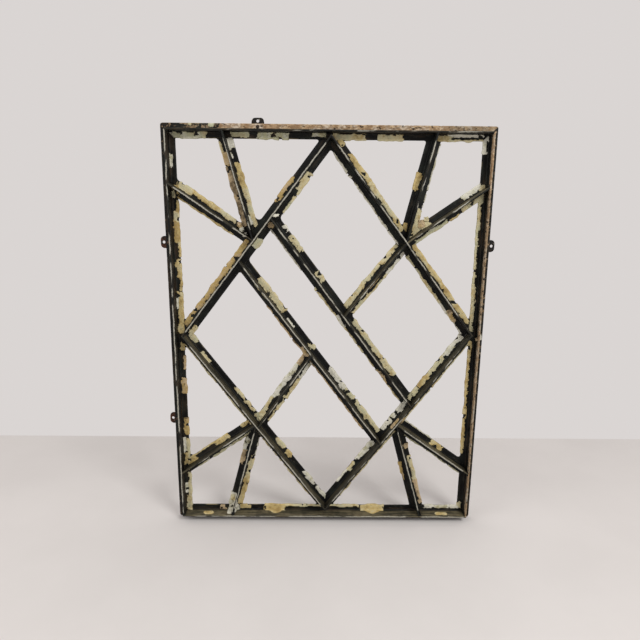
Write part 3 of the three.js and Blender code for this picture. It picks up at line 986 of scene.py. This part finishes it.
def make_joints():
    """Webs in the corners of the flanges, and weld runs in the corners of the stems."""
    webs = ([], [])
    runs = ([], [])
    corners = []
    axes = {name: Bar(name) for name in bars}
    for around, inside_mm, rounded in PANES:
        inside = np.array(inside_mm) * MM
        for i, name in enumerate(around):
            a, b = axes[name], axes[around[(i + 1) % len(around)]]
            side_a = math.copysign(1.0, plan(a.across) @ inside - a.middle)
            side_b = math.copysign(1.0, plan(b.across) @ inside - b.middle)
            corner = crossing(a, side_a, b, side_b, HALF_FLANGE)
            ways = []
            for bar, other, other_side in ((a, b, side_b), (b, a, side_a)):
                way = plan(bar.along)
                ways.append(way if (way @ plan(other.across)) * other_side > 0 else -way)
            square = abs(ways[0] @ ways[1]) < 0.02
            radius = rounded.get(name, 1.5 if square else 3.0) * MM
            outline = corner_outline(corner, ways[0], ways[1], radius)
            prism(webs, outline, FLANGE_FRONT + 0.0001, FLANGE_BACK - 0.0001)
            corners.append((corner, a, b))
            seam = crossing(a, side_a, b, side_b, HALF_STEM)
            ends = [(seam @ plan(bar.along), bar.stem_low, bar.stem_high) for bar in (a, b)]
            if any(not low - SEAM_SLACK < at < high + SEAM_SLACK for at, low, high in ends):
                continue
            ring = weld_ring(seam, ways)
            prism(runs, ring, FLANGE_BACK - SECTION_DEPTH + 0.0012, FLANGE_FRONT + 0.001)
    kinds = (("joint_webs", webs, 0.0008, 0.0002), ("weld_runs", runs, 0.0007, 0.0005))
    for name, shape, voxel, relief in kinds:
        piece = solid_piece(name, *shape)
        remesh(piece, voxel)
        soften(piece, 2)
        mesh = piece.data
        points = coordinates(mesh)
        distance, tone = np.full(len(points), 9.0), np.full(len(points), C)
        if name == "joint_webs":
            distance, tone = putty_near_corners(points, corners)
        ripple = relief * layered(points, 0.0045, 2, 51)
        ripple += 0.001 * smooth_step(0.7, -0.9, distance) * (points[:, 1] < FLANGE_FRONT + 0.001)
        points += normals_of(mesh) * ripple[:, None]
        set_coordinates(mesh, points)
        dress_plain(mesh, points, distance, tone)
        mesh.shade_smooth()
        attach(piece, "root")
        dress(piece, "bar_paint")


def solid_piece(name, points, faces):
    mesh = bpy.data.meshes.new(name)
    mesh.from_pydata([tuple(map(float, p)) for p in points], [], faces)
    mesh.validate()
    return link(name, mesh)


def putty_near_corners(points, corners):
    """The putty of the two bars at the corner that each point is nearest to."""
    flat = points[:, [0, 2]]
    away = np.stack([np.hypot(*(flat - corner).T) for corner, a, b in corners], 1)
    nearest = away.argmin(1)
    distance, tone = np.full(len(points), FAR_AWAY), np.full(len(points), C)
    for k, (corner, a, b) in enumerate(corners):
        chosen = nearest == k
        for bar in (a, b):
            d, t = putty_field(bar, bar.local(points[chosen]), points[chosen])
            nearer = d < distance[chosen]
            tone[chosen] = np.where(nearer, t, tone[chosen])
            distance[chosen] = np.minimum(d, distance[chosen])
    return distance, tone


def dress_plain(mesh, points, distance, tone):
    """The paint's attributes for a piece with no worn edges."""
    count = len(points)
    add_attribute(mesh, "putty", distance)
    add_attribute(mesh, "tone", tone)
    add_attribute(mesh, "rust", np.full(count, 0.1))
    add_attribute(mesh, "stem_front", np.zeros(count))
    add_attribute(mesh, "rim", np.zeros(count))
    add_attribute(mesh, "dust_and_sheen", np.zeros(count))
    for name, column in (("side", 0), ("height", 1), ("run", 2)):
        add_attribute(mesh, name, points[:, column] / MM)


# Lumps of putty left in corners, as (x, z, lowest, highest, half width, half height, tone) in
# mm, with lowest and highest off the flange's back.
LUMPS = [
    (-188, 689, 3, 11, 6, 8, T), (-184, 679, 3, 14, 5, 7, W), (-178, 670, 3, 11, 5, 5, W),
    (-126, 692, 3, 7, 4, 7, K), (-111, 711, 24, 27, 8, 3, W), (-322, 766, 3, 7, 9, 5, Y),
    (-327, 753, 3, 6, 4, 8, C), (-219, 50, 3, 8, 6, 9, C), (-213, 36, 3, 13, 5, 11, W),
    (-216, 16, 3, 20, 5, 8, W), (332, 446, 8, 25, 3, 5, T), (199, 697, 3, 7, 8, 9, T),
    (208, 706, 3, 7, 6, 5, C), (-148, 254, 3, 7, 8, 8, C), (200, 313, 3, 7, 5, 6, C),
]


def make_lumps():
    """The lumps of putty, squared off and dented, as one piece."""
    points, faces = [], []
    places = np.array([(x, FLANGE_BACK / MM - (low + high) / 2, z) for x, z, low, high, *_ in LUMPS]) * MM
    for k, (x, z, lowest, highest, half_width, half_height, tone) in enumerate(LUMPS):
        ball = bmesh.new()
        bmesh.ops.create_icosphere(ball, subdivisions=4, radius=1.0)
        unit = np.array([v.co for v in ball.verts])
        base = sum(len(p) for p in points)
        faces.extend(tuple(base + v.index for v in face.verts) for face in ball.faces)
        ball.free()
        # Squared off and dented, so that no two are alike.
        shape = unit / np.abs(unit).max(1)[:, None] * 0.4 + unit * 0.5
        shape *= 1.0 + 0.4 * layered(unit + 7.0 * k, 0.8, 3, 71)[:, None]
        size = np.array([half_width, (highest - lowest) / 2, half_height]) * MM
        points.append(shape * size + places[k])
    piece = solid_piece("putty_lumps", np.concatenate(points), faces)
    remesh(piece, 0.0007)
    mesh = piece.data
    points = coordinates(mesh)
    lift = 0.0007 * layered(points, 0.006, 3, 81) + 0.0006 * chips(points, 0.006, 83)
    points += normals_of(mesh) * lift[:, None]
    set_coordinates(mesh, points)
    soften(piece, 1)
    mesh = piece.data
    points = coordinates(mesh)
    away = np.linalg.norm(points[:, None] - places[None], axis=2)
    tones = np.array([tone for *_, tone in LUMPS])[away.argmin(1)]
    dress_plain(mesh, points, np.full(len(points), -1.2), tones)
    mesh.shade_smooth()
    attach(piece, "root")
    dress(piece, "bar_paint")


make_joints()
make_lumps()

# ------------------------------------------------------------------------ floor, light, camera


# Just under the frame, so that the two never touch.
FLOOR_LEVEL = -0.0004


def make_floor():
    mesh = bpy.data.meshes.new("floor")
    x, near, far = 1.6, -1.5, 0.45
    corners = [(-x, near), (x, near), (x, far), (-x, far)]
    mesh.from_pydata([(a, b, FLOOR_LEVEL) for a, b in corners], [], [(0, 1, 2, 3)])
    floor = link("floor", mesh)
    n = Nodes("floor_look")
    colour = n.mix(n.ramp(n.noise(300.0, 4.0), 0.3, 0.7), srgb(207, 203, 200), srgb(211, 207, 204))
    mesh.materials.append(n.finish(colour, 0.75, n.noise(4.0, 2.0), 0.02))


def make_world():
    world = bpy.data.worlds.new("studio")
    scene.world = world
    world.use_nodes = True
    background = world.node_tree.nodes["Background"]
    background.inputs["Color"].default_value = (*srgb(223, 218, 216), 1.0)
    background.inputs["Strength"].default_value = 0.95


def area_light(name, location, target, size, power):
    light = bpy.data.lights.new(name, "AREA")
    light.shape = "DISK"
    light.size = size
    light.energy = power
    lamp = bpy.data.objects.new(name, light)
    lamp.location = location
    lamp.rotation_euler = (Vector(target) - Vector(location)).to_track_quat("-Z", "Y").to_euler()
    scene.collection.objects.link(lamp)


# The viewpoint: a little left of the middle, about 1.1 m away, looking down at the frame.
CAMERA_PLACE = (-0.02684, -1.1226, 0.7304)
FOCAL_LENGTH = 29.39
PITCH_DOWN, YAW, ROLL = 12.27, -0.55, 0.59


def make_camera():
    data = bpy.data.cameras.new("camera")
    data.lens = FOCAL_LENGTH
    data.sensor_width = 36.0
    data.clip_start, data.clip_end = 0.05, 50.0
    camera = bpy.data.objects.new("camera", data)
    turn = Matrix.Rotation(math.radians(YAW), 4, "Z")
    turn @= Matrix.Rotation(math.radians(90.0 - PITCH_DOWN), 4, "X")
    turn @= Matrix.Rotation(math.radians(ROLL), 4, "Z")
    camera.matrix_world = Matrix.Translation(CAMERA_PLACE) @ turn
    scene.collection.objects.link(camera)
    scene.camera = camera


make_floor()
make_world()
area_light("key", (1.1, -1.6, 2.0), (0, 0, 0.45), 0.9, 34.0)
area_light("fill", (-1.6, -1.2, 1.2), (0, 0, 0.45), 1.4, 12.0)
make_camera()
scene.view_settings.view_transform = "Standard"
